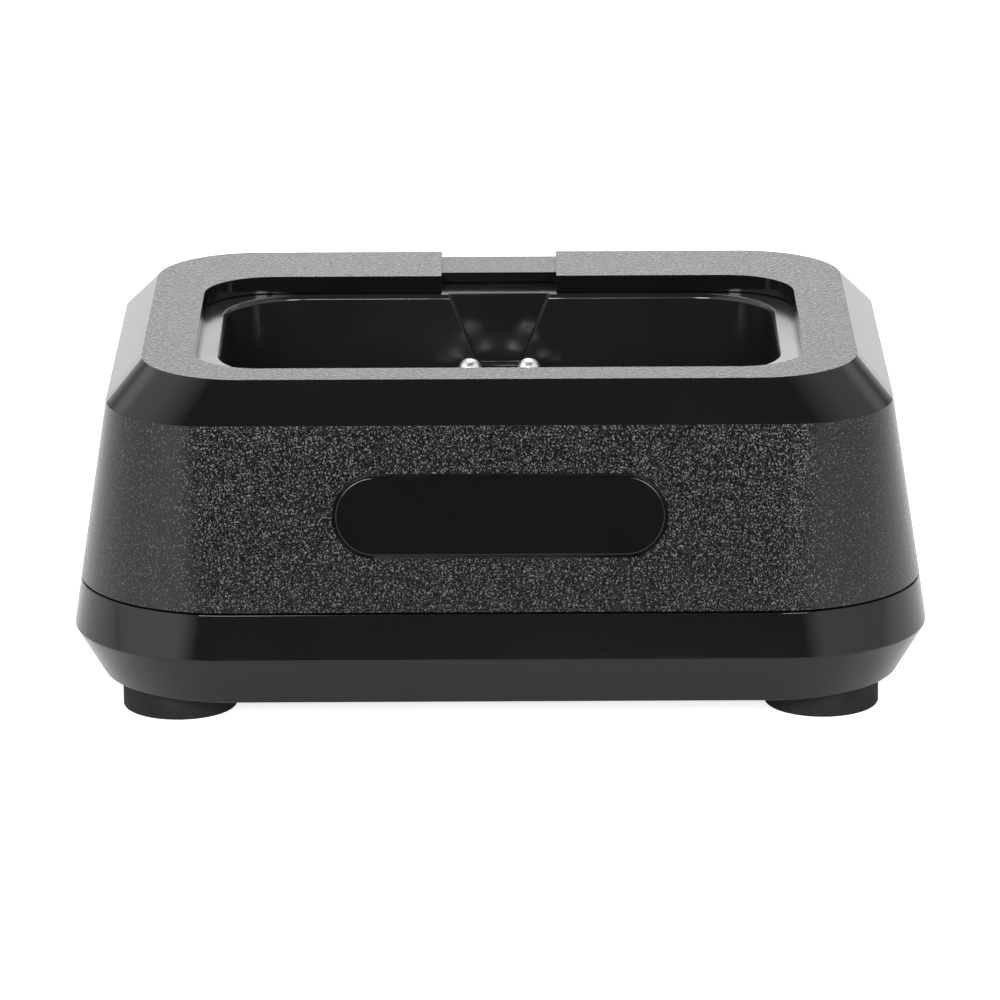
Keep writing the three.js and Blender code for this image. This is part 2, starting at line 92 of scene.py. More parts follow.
# %% Node helpers
def new_material(name, color, roughness, metallic=0.0, specular=0.5):
    """A material with its shader's own sockets set, and the handles to add nodes."""
    material = bpy.data.materials.new(name)
    material.use_nodes = True
    tree = material.node_tree
    shader = tree.nodes["Principled BSDF"]
    shader.inputs["Base Color"].default_value = (*color, 1)
    shader.inputs["Roughness"].default_value = roughness
    shader.inputs["Metallic"].default_value = metallic
    shader.inputs["Specular IOR Level"].default_value = specular
    return material, tree, shader


def add(tree, kind, **values):
    """Adds a node, and sets its inputs by name or else its properties."""
    node = tree.nodes.new(kind)
    for key, value in values.items():
        label = key.replace("_", " ")
        if label in node.inputs:
            node.inputs[label].default_value = value
        else:
            setattr(node, key, value)
    return node


def noise(tree, size_mm, detail=3.0, roughness=0.5):
    """A noise on the piece's own coordinates, whose lumps are about size_mm across."""
    scale = 1 / (size_mm * MM)
    node = add(tree, "ShaderNodeTexNoise", Scale=scale, Detail=detail, Roughness=roughness)
    tree.links.new(add(tree, "ShaderNodeTexCoord").outputs["Object"], node.inputs["Vector"])
    return node.outputs["Fac"]


def spread(tree, value, low, high, from_low=0.3, from_high=0.7):
    """Maps a value to a range."""
    node = add(
        tree, "ShaderNodeMapRange", From_Min=from_low, From_Max=from_high, To_Min=low, To_Max=high
    )
    tree.links.new(value, node.inputs["Value"])
    return node.outputs["Result"]


def tint(tree, value, dark, light, low=0.3, high=0.7):
    """Turns a noise into a colour between two colours."""
    node = add(tree, "ShaderNodeValToRGB")
    for stop, place, color in zip(node.color_ramp.elements, (low, high), (dark, light)):
        stop.position = place
        stop.color = (*color, 1)
    tree.links.new(value, node.inputs["Fac"])
    return node.outputs["Color"]


def bump(tree, shader, heights):
    """Chains bumps into a shader's normal. heights holds (value, depth in mm) pairs."""
    last = None
    for value, depth_mm in heights:
        node = add(tree, "ShaderNodeBump", Strength=1.0, Distance=depth_mm * MM)
        tree.links.new(value, node.inputs["Height"])
        if last:
            tree.links.new(last, node.inputs["Normal"])
        last = node.outputs["Normal"]
    tree.links.new(last, shader.inputs["Normal"])


# %% [markdown]
# ## Floor and studio
# Black gloss shows nothing of itself, only what stands round it, so the studio is the real paint
# here. The sky is bright behind the stand, which makes the top edges shine, dark in front, which
# keeps the front faces black, and has a broad soft panel at each side, which draws the corners.
# Large lamps could do this too, but in a sky a few numbers say how bright each direction is and
# how softly it fades. The floor is a plain pale sheet that ends a little way in front, so that the
# band cannot mirror it. It glows more for the camera than for the stand, which keeps it pale
# without lighting the undercut.

# %% Floor
bpy.ops.object.select_all(action="DESELECT")
bpy.ops.mesh.primitive_plane_add(size=3, location=(0, 1.2, 0))
floor = bpy.context.object
floor.name = "floor"
bpy.ops.object.transform_apply(location=True, rotation=True, scale=True)
paper, tree, shader = new_material("paper", (0.86, 0.86, 0.86), 0.9, specular=0.1)
shader.inputs["Emission Color"].default_value = (1, 1, 1, 1)
GLOW_FOR_STAND = 0.08
GLOW_FOR_CAMERA = 0.75
sight = add(tree, "ShaderNodeLightPath").outputs["Is Camera Ray"]
glow = spread(tree, sight, GLOW_FOR_STAND, GLOW_FOR_CAMERA, 0, 1)
tree.links.new(glow, shader.inputs["Emission Strength"])
paper_tone = tint(tree, noise(tree, 60), (0.85, 0.85, 0.85), (0.87, 0.87, 0.87))
tree.links.new(paper_tone, shader.inputs["Base Color"])
floor.data.materials.append(paper)
print("floor", [round(side, 2) for side in floor.dimensions[:2]], "m")

# %% Sky by direction
world = bpy.data.worlds.new("studio")
bpy.context.scene.world = world
world.use_nodes = True
sky = world.node_tree
sky.nodes.clear()
direction = add(sky, "ShaderNodeSeparateXYZ")
sky.links.new(add(sky, "ShaderNodeTexCoord").outputs["Generated"], direction.inputs["Vector"])


def zones(value, stops):
    """Brightness along one axis, as a ramp through (direction from -1 to 1, brightness)."""
    ramp = add(sky, "ShaderNodeValToRGB")
    ramp.color_ramp.interpolation = "LINEAR"
    knots = ramp.color_ramp.elements
    while len(knots) < len(stops):
        knots.new(0.5)
    for knot, (place, brightness) in zip(knots, stops):
        knot.position = (place + 1) / 2
        knot.color = (brightness, brightness, brightness, 1)
    sky.links.new(spread(sky, value, 0, 1, -1, 1), ramp.inputs["Fac"])
    return ramp.outputs["Color"]


def blended(kind, one, other):
    node = add(sky, "ShaderNodeMix", data_type="RGBA", blend_type=kind)
    node.inputs[0].default_value = 1
    sky.links.new(one, node.inputs[6])
    sky.links.new(other, node.inputs[7])
    return node.outputs[2]


behind = zones(direction.outputs["Y"], [(-1, 0.10), (0.8, 0.12), (0.9, 0.8), (0.95, 2.3)])
panels = zones(direction.outputs["X"], [(-0.56, 1.45), (-0.33, 0), (0.33, 0), (0.56, 1.0)])
fade = [(-0.6, 1), (-0.16, 0.81), (0.27, 0.66), (0.6, 0.5), (0.9, 0.1)]
fading = zones(direction.outputs["Y"], fade)
high = zones(direction.outputs["Z"], [(0.35, 0), (0.55, 1.1)])
canopy = blended("MULTIPLY", high, zones(direction.outputs["Y"], [(0.55, 0), (0.7, 0.8)]))
round_about = blended("ADD", behind, blended("MULTIPLY", panels, fading))
light = add(sky, "ShaderNodeBackground", Strength=1.0)
sky.links.new(blended("ADD", round_about, canopy), light.inputs["Color"])
backdrop = add(sky, "ShaderNodeBackground", Strength=1.0, Color=(1, 1, 1, 1))
seen = add(sky, "ShaderNodeMixShader")
sky.links.new(add(sky, "ShaderNodeLightPath").outputs["Is Camera Ray"], seen.inputs["Fac"])
sky.links.new(light.outputs[0], seen.inputs[1])
sky.links.new(backdrop.outputs[0], seen.inputs[2])
sky.links.new(seen.outputs[0], add(sky, "ShaderNodeOutputWorld").inputs["Surface"])
print("sky of", len(sky.nodes), "nodes")


# %% [markdown]
# Three lamps finish the studio. Two stand low in front, and are what the grain sparkles by, next to
# the sparkle painted paler on the grain tops. A wide one hangs high behind and puts a thin line of
# light on the edges of the pocket. Each is a square area lamp, which is a softbox: a point lamp
# would leave hard specks on the polish.


# %% Lamps
def softbox(name, place, target, size, power):
    """A square area lamp at a place, turned to a target, in metres and watts."""
    data = bpy.data.lights.new(name, "AREA")
    data.size = size
    data.energy = power
    lamp = bpy.data.objects.new(name, data)
    bpy.context.scene.collection.objects.link(lamp)
    lamp.location = place
    lamp.rotation_euler = (Vector(place) - Vector(target)).to_track_quat("Z", "Y").to_euler()
    print(name, "at", place, power, "W")


STAND_MIDDLE = (0, 0, 0.02)
softbox("key", (-0.20, -0.85, 0.38), STAND_MIDDLE, 0.3, 6.5)
softbox("fill", (0.26, -0.85, 0.34), STAND_MIDDLE, 0.3, 5.0)
softbox("top", (0, 0.45, 0.80), STAND_MIDDLE, 0.5, 4.0)

# %% [markdown]
# ## Finishes
# The walls are spark-eroded plastic, whose grains are about a fifth of a millimetre across. The
# rough tops scatter the low lamps and sparkle, while the smooth hollows between them mirror the
# dark room. So one noise does both jobs: above a level the surface is rough, below it black and
# smooth. The grain tops are also painted paler, a painted sparkle that stands in for glints too
# small to catch at this distance. It shows all round, while the lamps' own sparkle shows most where
# a wall faces them and fades round the corners. A deep bump alone could do this too, but grains
# this small need a closer camera than a catalogue picture has. The rim's grain is coarser and comes
# mostly from its bump.


# %% Textured and satin plastics
def textured_plastic():
    base = (0.006, 0.006, 0.0063)
    material, tree, shader = new_material("textured_plastic", base, 0.2, specular=0.42)
    grain = noise(tree, 0.19, detail=1.0)
    # the paler grain tops are painted sparkle: colour that stands in for glints from the lamps
    hue = tint(tree, grain, (0.0015, 0.0015, 0.0016), (0.07, 0.07, 0.0705), 0.56, 0.8)
    tree.links.new(hue, shader.inputs["Base Color"])
    tree.links.new(spread(tree, grain, 0.12, 0.40, 0.55, 0.68), shader.inputs["Roughness"])
    bump(tree, shader, [(grain, 0.03)])
    return material


def satin_plastic(name, roughness, grain_mm, depth_mm):
    material, tree, shader = new_material(name, (0.018, 0.018, 0.019), roughness, specular=0.36)
    grain = noise(tree, grain_mm, detail=1.0)
    hue = tint(tree, grain, (0.010, 0.010, 0.0105), (0.026, 0.026, 0.0265))
    tree.links.new(hue, shader.inputs["Base Color"])
    gloss = spread(tree, grain, roughness * 1.2, roughness * 0.75)
    tree.links.new(gloss, shader.inputs["Roughness"])
    bump(tree, shader, [(grain, depth_mm)])
    return material


# %% [markdown]
# The polished faces come from a mirror-finished tool. Polished plastic is never quite flat or
# evenly clean, so a very shallow wave bends its reflections and a faint haze varies its gloss.


# %% Polished plastics
def polished_plastic(name, color, roughness, specular=0.42, wave_mm=0.003):
    material, tree, shader = new_material(name, color, roughness, specular=specular)
    haze = noise(tree, 14.0)
    specks = noise(tree, 0.9, detail=1.0)
    darker = tuple(c * 0.85 for c in color)
    tree.links.new(tint(tree, haze, darker, color), shader.inputs["Base Color"])
    gloss = spread(tree, haze, roughness * 0.75, roughness * 1.3)
    tree.links.new(gloss, shader.inputs["Roughness"])
    bump(tree, shader, [(noise(tree, 6.0), wave_mm), (specks, 0.0004)])
    return material


# %% [markdown]
# The feet are a matt rubber with a dusty bloom. The metals are small, so their marks are fine: a
# short grain in the roughness and a shallow bump, coarser on the stamped steel than on the pins.


# %% Rubber, metals and the board
def rubber():
    material, tree, shader = new_material("rubber", (0.008, 0.008, 0.008), 0.7, specular=0.2)
    grain = noise(tree, 0.3)
    bloom = tint(tree, noise(tree, 2.5), (0.006, 0.006, 0.006), (0.011, 0.011, 0.0107))
    tree.links.new(bloom, shader.inputs["Base Color"])
    tree.links.new(spread(tree, grain, 0.62, 0.8), shader.inputs["Roughness"])
    bump(tree, shader, [(grain, 0.02)])
    return material


def metal(name, color, roughness, grain_mm=0.4, depth_mm=0.001):
    material, tree, shader = new_material(name, color, roughness, metallic=1.0)
    wear = noise(tree, grain_mm)
    darker = tuple(c * 0.88 for c in color)
    tree.links.new(tint(tree, wear, darker, color), shader.inputs["Base Color"])
    tree.links.new(spread(tree, wear, roughness * 0.8, roughness * 1.3), shader.inputs["Roughness"])
    bump(tree, shader, [(wear, depth_mm)])
    return material


def board_green():
    material, tree, shader = new_material("circuit_board", (0.02, 0.12, 0.06), 0.35)
    weave = noise(tree, 0.8)
    green = tint(tree, weave, (0.016, 0.10, 0.05), (0.024, 0.14, 0.07))
    tree.links.new(green, shader.inputs["Base Color"])
    tree.links.new(spread(tree, weave, 0.3, 0.45), shader.inputs["Roughness"])
    bump(tree, shader, [(weave, 0.01)])
    return material


# %% All finishes by name
BLACK = (0.0042, 0.0042, 0.0044)
FINISH = {
    "textured_plastic": textured_plastic(),
    "rim_satin": satin_plastic("rim_satin", 0.32, 0.36, 0.13),
    "notch_satin": satin_plastic("notch_satin", 0.36, 0.3, 0.02),
    "gloss_plastic": polished_plastic("gloss_plastic", BLACK, 0.06),
    "inner_plastic": polished_plastic("inner_plastic", BLACK, 0.14),
    "liner_polish": polished_plastic("liner_polish", (0.008, 0.008, 0.0083), 0.17, specular=0.5),
    "badge_polish": polished_plastic("badge_polish", (0.003, 0.003, 0.0032), 0.05, specular=0.4),
    "socket_plastic": polished_plastic("socket_plastic", (0.009, 0.009, 0.0095), 0.34),
    "rubber": rubber(),
    "contact_metal": metal("contact_metal", (0.92, 0.92, 0.93), 0.3),
    "brass": metal("brass", (0.66, 0.48, 0.2), 0.25),
    "steel": metal("steel", (0.5, 0.5, 0.51), 0.32, grain_mm=0.7),
    "spring_steel": metal("spring_steel", (0.6, 0.6, 0.61), 0.22),
    "circuit_board": board_green(),
    "capacitor_film": polished_plastic("capacitor_film", (0.02, 0.035, 0.09), 0.25),
    "fuse_coating": polished_plastic("fuse_coating", (0.55, 0.25, 0.02), 0.3),
}
print(len(FINISH), "finishes")

# %% [markdown]
# ## Sections
# The stand is drawn as sections, seen from above: rounded rectangles with a half width, a half
# depth, a corner radius, a height and a shift in Y. Their heights and the outer size start from the
# frame's nodes, so every new shell sits where its solid is. On the outside each outline is another
# one made larger or smaller all round. The mouth and the well stand on their own, because the
# pocket is set a little forward of the middle.


# %% Sections
def section(w, d, r, z, y=0.0):
    """A rounded rectangle in millimetres, kept in metres."""
    return {"w": w * MM, "d": d * MM, "r": r * MM, "z": z * MM, "y": y * MM}


def grown(s, by, z=None, r=None):
    """The same section larger all round by some millimetres, at a new height or corner radius."""
    bigger = dict(s, w=s["w"] + by * MM, d=s["d"] + by * MM, r=s["r"] + by * MM)
    bigger["z"] = s["z"] if z is None else z * MM
    bigger["r"] = bigger["r"] if r is None else r * MM
    return bigger


def mixed(low, high, z):
    """The section between two others at a height in millimetres."""
    t = (z * MM - low["z"]) / (high["z"] - low["z"])
    return {key: low[key] + (high[key] - low[key]) * t for key in low}


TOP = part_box("upper_housing")[1].z / MM
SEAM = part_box("upper_housing")[0].z / MM - 0.1
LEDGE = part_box("pocket_insert")[1].z / MM
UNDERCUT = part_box("base_cover")[0].z / MM
half_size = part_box("base_cover")[1] / MM

WAIST_RADIUS = 15.5
WAIST_RISE = 5.4
CHAMFER = 4.0
waist = section(half_size.x, half_size.y, WAIST_RADIUS, UNDERCUT + WAIST_RISE)
bottom = grown(waist, -2.93, z=UNDERCUT, r=13.9)
parting = grown(waist, -0.72, z=SEAM, r=WAIST_RADIUS)
shoulder = grown(parting, -3.0, z=TOP - CHAMFER, r=11.4)
rim = grown(shoulder, -3.65, z=TOP, r=10.8)
mouth = section(32.0, 19.65, 7.2, TOP, y=-3.35)
well = section(29.5, 16.7, 8.4, LEDGE, y=-1.1)
for name, s in (("waist", waist), ("parting", parting), ("shoulder", shoulder), ("rim", rim)):
    print(name, {key: round(value / MM, 2) for key, value in s.items()})

# %% [markdown]
# ## Modelling helpers
# Every shell is a stack of outlines. One outline is a plane whose four corners are rounded by a
# vertex bevel. Bridging one outline to the next gives walls that lean and corners that open out on
# the way down, which one block, extruded and scaled, could not. Turned pieces are a disc drawn up
# through steps, and what is left is cut or joined with a Boolean.


# %% Selecting
def deselect():
    """Leaves edit mode and selects nothing, since the frame's nodes arrive selected."""
    if bpy.context.object and bpy.context.object.mode != "OBJECT":
        bpy.ops.object.mode_set(mode="OBJECT")
    bpy.ops.object.select_all(action="DESELECT")


def choose(piece):
    """Makes one piece the only selected one, and the active one."""
    deselect()
    piece.select_set(True)
    bpy.context.view_layer.objects.active = piece


def edit(piece):
    """Opens one piece in edit mode with nothing in it selected."""
    choose(piece)
    bpy.ops.object.mode_set(mode="EDIT")
    bpy.ops.mesh.select_mode(type="VERT")
    bpy.ops.mesh.select_all(action="DESELECT")


def select_points(test):
    """Selects the points whose place passes a test, in the piece being edited."""
    bpy.ops.mesh.select_mode(type="VERT")
    bpy.ops.mesh.select_all(action="DESELECT")
    mesh = bmesh.from_edit_mesh(bpy.context.object.data)
    for point in mesh.verts:
        point.select = test(point.co)
    mesh.select_flush_mode()
    bmesh.update_edit_mesh(bpy.context.object.data)


def select_faces(test):
    """Selects the faces whose middle and normal pass a test."""
    bpy.ops.mesh.select_mode(type="FACE")
    bpy.ops.mesh.select_all(action="DESELECT")
    mesh = bmesh.from_edit_mesh(bpy.context.object.data)
    for face in mesh.faces:
        face.select = test(face.calc_center_median(), face.normal)
    mesh.select_flush_mode()
    bmesh.update_edit_mesh(bpy.context.object.data)


def outward():
    """Merges doubles, turns every face outwards and leaves edit mode."""
    bpy.ops.mesh.select_all(action="SELECT")
    bpy.ops.mesh.remove_doubles(threshold=0.001 * MM)
    bpy.ops.mesh.normals_make_consistent(inside=False)
    bpy.ops.object.mode_set(mode="OBJECT")


def settle(piece):
    """Moves a piece's place, turn and scale into its mesh."""
    choose(piece)
    bpy.ops.object.transform_apply(location=True, rotation=True, scale=True)
    return piece


# %% Stacks of outlines
CORNER_STEPS = 14


def draw_outline(s, height, corner_steps):
    """Adds one rounded rectangle to the piece being edited: a plane with bevelled corners."""
    middle = (0, s["y"], height)
    bpy.ops.mesh.primitive_plane_add(size=2, location=middle)
    bpy.ops.transform.resize(value=(s["w"], s["d"], 1), center_override=middle)
    bpy.ops.mesh.bevel(offset=s["r"], segments=corner_steps, profile=0.5, affect="VERTICES")
    bpy.ops.mesh.delete(type="ONLY_FACE")


def stack(name, sections, closed=False, corner_steps=CORNER_STEPS):
    """A piece through a list of sections. It is capped at both ends, or closed on itself.

    The outlines are first drawn well apart, one above the other, because bridging two outlines
    in one plane twists them. Each is then pressed flat at its own height.
    """
    deselect()
    bpy.ops.mesh.primitive_plane_add(size=MM)
    piece = bpy.context.object
    piece.name = name
    bpy.ops.object.mode_set(mode="EDIT")
    bpy.ops.mesh.delete(type="VERT")
    heights = [0.1 + 0.02 * level for level in range(len(sections))]
    for s, height in zip(sections, heights):
        draw_outline(s, height, corner_steps)
    pairs = list(zip(heights, heights[1:]))
    if closed:
        pairs.append((heights[-1], heights[0]))
    for pair in pairs:
        select_points(lambda point: min(abs(point.z - height) for height in pair) < MM)
        bpy.ops.mesh.bridge_edge_loops()
    for s, height in zip(sections, heights):
        select_points(lambda point: abs(point.z - height) < MM)
        if not closed and height in (heights[0], heights[-1]):
            bpy.ops.mesh.edge_face_add()
        bpy.ops.transform.resize(value=(1, 1, 0), center_override=(0, 0, s["z"]))
    outward()
    return piece


# %% Turned pieces and blocks
def turned(name, profile, x=0.0, y=0.0, sides=48):
    """A turned piece: a disc drawn up through [radius, height] steps in millimetres."""
    deselect()
    radius, height = profile[0]
    middle = (x, y, height * MM)
    bpy.ops.mesh.primitive_circle_add(
        vertices=sides, radius=radius * MM, fill_type="NGON", location=middle
    )
    piece = settle(bpy.context.object)
    piece.name = name
    bpy.ops.object.mode_set(mode="EDIT")
    bpy.ops.mesh.select_all(action="SELECT")
    for next_radius, next_height in profile[1:]:
        rise = (0, 0, (next_height - height) * MM)
        bpy.ops.mesh.extrude_region_move(TRANSFORM_OT_translate={"value": rise})
        share = next_radius / radius
        bpy.ops.transform.resize(value=(share, share, 1), center_override=(x, y, next_height * MM))
        radius, height = next_radius, next_height
    outward()
    return piece


def block(name, low, high):
    """A box between two corners in metres: the start of a cutter, a rib or a socket."""
    deselect()
    bpy.ops.mesh.primitive_cube_add(size=1, location=(Vector(low) + Vector(high)) / 2)
    piece = bpy.context.object
    piece.name = name
    piece.scale = Vector(high) - Vector(low)
    return settle(piece)


def copied(piece, name, x, y):
    """A copy of a piece that was made on the Z axis, with its own mesh, moved to its place."""
    choose(piece)
    bpy.ops.object.duplicate()
    twin = bpy.context.object
    twin.name = name
    twin.location = (x, y, 0)
    return settle(twin)


# %% Cutting, joining and easing
def apply(piece, modifier):
    """Applies one modifier to its piece."""
    choose(piece)
    bpy.ops.object.modifier_apply(modifier=modifier.name)


def combine(piece, tool, operation="DIFFERENCE"):
    """Cuts a piece with a tool, or joins the two, and throws the tool away."""
    modifier = piece.modifiers.new("combine", "BOOLEAN")
    modifier.operation = operation
    modifier.solver = "EXACT"
    modifier.object = tool
    apply(piece, modifier)
    bpy.data.objects.remove(tool)


def ease_edges(piece, width_mm, steps=3, sharper_than=28):
    """Rounds every crisp edge, as a moulding tool does, and shades flats flat and rounds round."""
    modifier = piece.modifiers.new("ease", "BEVEL")
    modifier.width = width_mm * MM
    modifier.segments = steps
    modifier.limit_method = "ANGLE"
    modifier.angle_limit = math.radians(sharper_than)
    modifier.miter_outer = "MITER_ARC"
    apply(piece, modifier)
    bpy.ops.object.shade_smooth()
    weighted = piece.modifiers.new("weighted", "WEIGHTED_NORMAL")
    weighted.weight = 80
    apply(piece, weighted)


# %% Painting and placing
def outline_gap(point, s):
    """How far a point lies outside a section's outline, seen from above."""
    x = abs(point.x) - (s["w"] - s["r"])
    y = abs(point.y - s["y"]) - (s["d"] - s["r"])
    return math.hypot(max(x, 0), max(y, 0)) + min(max(x, y), 0) - s["r"]


def paint(piece, finishes, rule=lambda middle, normal: 0):
    """Gives a piece its finishes. The rule picks one for each face, by its middle and normal."""
    piece.data.materials.clear()
    for name in finishes:
        piece.data.materials.append(FINISH[name])
    for face in piece.data.polygons:
        face.material_index = rule(face.center, face.normal)


def place(piece, body, slot, node):
    """Puts a finished piece on its body in place of a node, and prints what was made."""
    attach(piece, body)
    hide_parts(node)
    mesh = bmesh.new()
    mesh.from_mesh(piece.data)
    open_edges = sum(len(edge.link_faces) != 2 for edge in mesh.edges)
    volume = mesh.calc_volume(signed=True) / MM**3
    print(f"{piece.name}: {len(mesh.faces)} faces, {open_edges} open edges, {volume:.0f} cubic mm")
    mesh.free()


def tell(piece, step):
    """Prints how a piece stands after a step."""
    print(f"{piece.name} with its {step}: {len(piece.data.polygons)} faces")


def middle_of(node):
    """The place of a node's axis, seen from above."""
    low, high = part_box(node)
    return (low.x + high.x) / 2, (low.y + high.y) / 2


# %% [markdown]
# ## Housing
# The housing is the textured shell that the hand meets. It is moulded in one, open below, with the
# pocket's mouth through its top. A closed chain of outlines goes up the outside, over the rim, down
# the mouth and back down the inside, so the wall has a real thickness everywhere. A Solidify
# modifier would be quicker, but it thickens a leaning wall and a flat top by the same rule, and the
# real tool does not.

# %% Housing shell
WALL = 2.2
LEANING_WALL = WALL * 1.37
PLATE = LEDGE + 0.1
HOUSING_LOW = SEAM + 0.1


def lining(low, high, z, thickness):
    """A section just inside the outer shell at a height."""
    return grown(mixed(low, high, z), -thickness)


housing = stack("housing", [
    mixed(parting, shoulder, HOUSING_LOW),
    shoulder,
    rim,
    mouth,
    dict(mouth, z=PLATE * MM),
    lining(shoulder, rim, PLATE, LEANING_WALL),
    lining(parting, shoulder, TOP - CHAMFER - 0.9, WALL),
    lining(parting, shoulder, HOUSING_LOW, WALL),
], closed=True)
tell(housing, "walls")

# %% [markdown]
# The thumb notch lets a thumb get behind the clipper. It is two cuts: a niche right through the
# top plate, and a shallow saddle that runs from it out over the rear rim. The window lets the
# power socket through the rear wall. Faces could be inset and deleted instead, but these cuts
# cross rounded and leaning walls, and there a block taken away by a Boolean leaves clean edges.

# %% Thumb notch and socket window
NOTCH = 6.3
NICHE_BACK = 20.9
SADDLE = TOP - 0.75
BEYOND = 1.0  # in metres: well past anything here
niche_low = (-NOTCH * MM, mouth["y"], (PLATE - 1) * MM)
combine(housing, block("niche", niche_low, (NOTCH * MM, NICHE_BACK * MM, BEYOND)))
saddle_low = (-NOTCH * MM, mouth["y"], SADDLE * MM)
combine(housing, block("saddle", saddle_low, (NOTCH * MM, BEYOND, BEYOND)))
jack_low, jack_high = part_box("power_jack_body")
gap = Vector((0.3, 0, 0.4)) * MM
window_low = Vector((jack_low.x, jack_low.y, 0)) - gap
window_high = Vector((jack_high.x, BEYOND, jack_high.z)) + gap
combine(housing, block("window", window_low, window_high))
tell(housing, "notch and window")

# %% [markdown]
# Inside, a screw at each corner comes up through the tray into a boss, a thick-walled tube that
# hangs from nothing but its ribs and the wall. A thin rib in each direction ties it in, because a
# thicker one would leave a sink mark on the outside. Two shorter bosses under the top plate take
# the screws that hold the liner up. All of them are joined to the shell, so the housing stays one
# closed piece.

# %% Bosses for the screws, with ribs to the walls
CORNERS = ("front_left", "front_right", "rear_left", "rear_right")
FEET = {name: middle_of("foot_" + name) for name in CORNERS}
BOSS_LOW = SEAM + 0.3
BOSS_TOP = TOP - 7
BORE_TOP = BOSS_TOP - 4
SCREW_TO_BOSS = 3.75
RIB_LOW = SEAM + 1.7
RIB_HALF = 0.8
RIB_END_X = 40.4
RIB_END_Y = 30.6


def rib(near, far, half_thickness):
    """A rib between two places seen from above, made thicker by half on either side."""
    low = Vector(map(min, near, far)) - half_thickness * MM
    high = Vector(map(max, near, far)) + half_thickness * MM
    low.z, high.z = RIB_LOW * MM, BORE_TOP * MM
    return block("rib", low, high)


for x, y in FEET.values():
    corner = Vector((x, y, 0))
    side_wall = Vector((math.copysign(RIB_END_X * MM, x), y, 0))
    end_wall = Vector((x, math.copysign(RIB_END_Y * MM, y), 0))
    combine(housing, rib(corner, side_wall, Vector((0, RIB_HALF, 0))), "UNION")
    combine(housing, rib(corner, end_wall, Vector((RIB_HALF, 0, 0))), "UNION")
    combine(housing, turned("boss", [(3, BOSS_LOW), (3, BOSS_TOP)], x, y), "UNION")
    combine(housing, turned("bore", [(1.5, 0), (1.5, BORE_TOP)], x, y))
for side in ("left", "right"):
    x, y = middle_of("insert_screw_" + side)
    boss_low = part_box("insert_screw_" + side)[0].z / MM + SCREW_TO_BOSS
    combine(housing, turned("boss", [(2.5, boss_low), (2.5, PLATE + 0.5)], x, y), "UNION")
    combine(housing, turned("bore", [(1.2, 0), (1.2, PLATE - 1)], x, y))
tell(housing, "bosses and ribs")

# %% [markdown]
# The badge's seat is a stadium sunk into the sloping front wall. It is drawn flat at the origin,
# then turned to look out of the wall, because an outline is easiest to round while it lies flat.


# %% Badge seat
BADGE_WIDTH = 34.0
BADGE_HEIGHT = 8.2
badge_z = sum(corner.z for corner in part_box("front_badge")) / 2
slope = math.atan((parting["d"] - shoulder["d"]) / (shoulder["z"] - parting["z"]))


def on_front_wall(piece):
    """Turns a piece drawn flat at the origin so that its top looks out of the front wall."""
    piece.rotation_euler = (math.pi / 2 - slope, 0, 0)
    piece.location = (0, -mixed(parting, shoulder, badge_z / MM)["d"], badge_z)
    return settle(piece)


def stadium(name, margin, low, high):
    """A stadium larger than the badge by a margin, between two depths out from the wall."""
    half = BADGE_HEIGHT / 2 + margin
    outline = section(BADGE_WIDTH / 2 + margin, half, half - 0.02, low)
    return on_front_wall(stack(name, [outline, dict(outline, z=high * MM)], corner_steps=18))


SEAT_DEPTH = 0.98
combine(housing, stadium("seat", 0.3, -SEAT_DEPTH, 2))
ease_edges(housing, 0.14)
tell(housing, "seat and eased edges")

# %% [markdown]
# One moulding, five finishes: the mould itself is eroded on the walls, matt on the rim and
# polished on the chamfer. So the shell stays in one piece and each face is given its finish by
# where it lies, measured against the same sections that drew it.


# %% Housing finishes
NEAR = 0.1


def housing_finish(middle, normal):
    """Texture on the walls, satin on the rim and the notch, polish on the chamfer."""
    past_mouth = outline_gap(middle, mouth) / MM
    height = middle.z / MM
    in_notch = abs(middle.x) < (NOTCH + NEAR) * MM and middle.y > 0
    wall = mixed(parting, shoulder, min(height, TOP - CHAMFER))
    if in_notch and height > SADDLE - NEAR and normal.z > 0.5:
        return HOUSING_FINISHES.index("notch_satin")
    if height > TOP - NEAR and past_mouth > NEAR / 2:
        return HOUSING_FINISHES.index("rim_satin")
    if height > TOP - CHAMFER + NEAR and past_mouth > 1:
        return HOUSING_FINISHES.index("gloss_plastic")
    if abs(outline_gap(middle, wall)) < 3 * NEAR * MM:
        return HOUSING_FINISHES.index("textured_plastic")
    return HOUSING_FINISHES.index("inner_plastic")


HOUSING_FINISHES = [
    "textured_plastic", "rim_satin", "notch_satin", "gloss_plastic", "inner_plastic",
]
paint(housing, HOUSING_FINISHES, housing_finish)
place(housing, "stand", "textured_plastic", "upper_housing")

# %% [markdown]
# ## Badge
# A polished stadium is pressed into the seat and stands a tenth of a millimetre proud. It is drawn
# as its seat is, from the same outline less the gap, so the gap stays even all round. It is left
# plain: with nothing printed on it, the stand can be anyone's.

# %% Badge
badge = stadium("badge", 0, -0.68, 0.12)
ease_edges(badge, 0.18)
paint(badge, ["badge_polish"])
place(badge, "stand", "gloss_plastic", "front_badge")

# %% [markdown]
# ## Pocket liner
# The liner is one polished moulding that drops into the housing from below: a flange under the top
# plate, which shows as a narrow ledge, and a drafted well. Its chain of outlines starts on the
# well's floor, comes up and over the ledge, and goes down the outside.

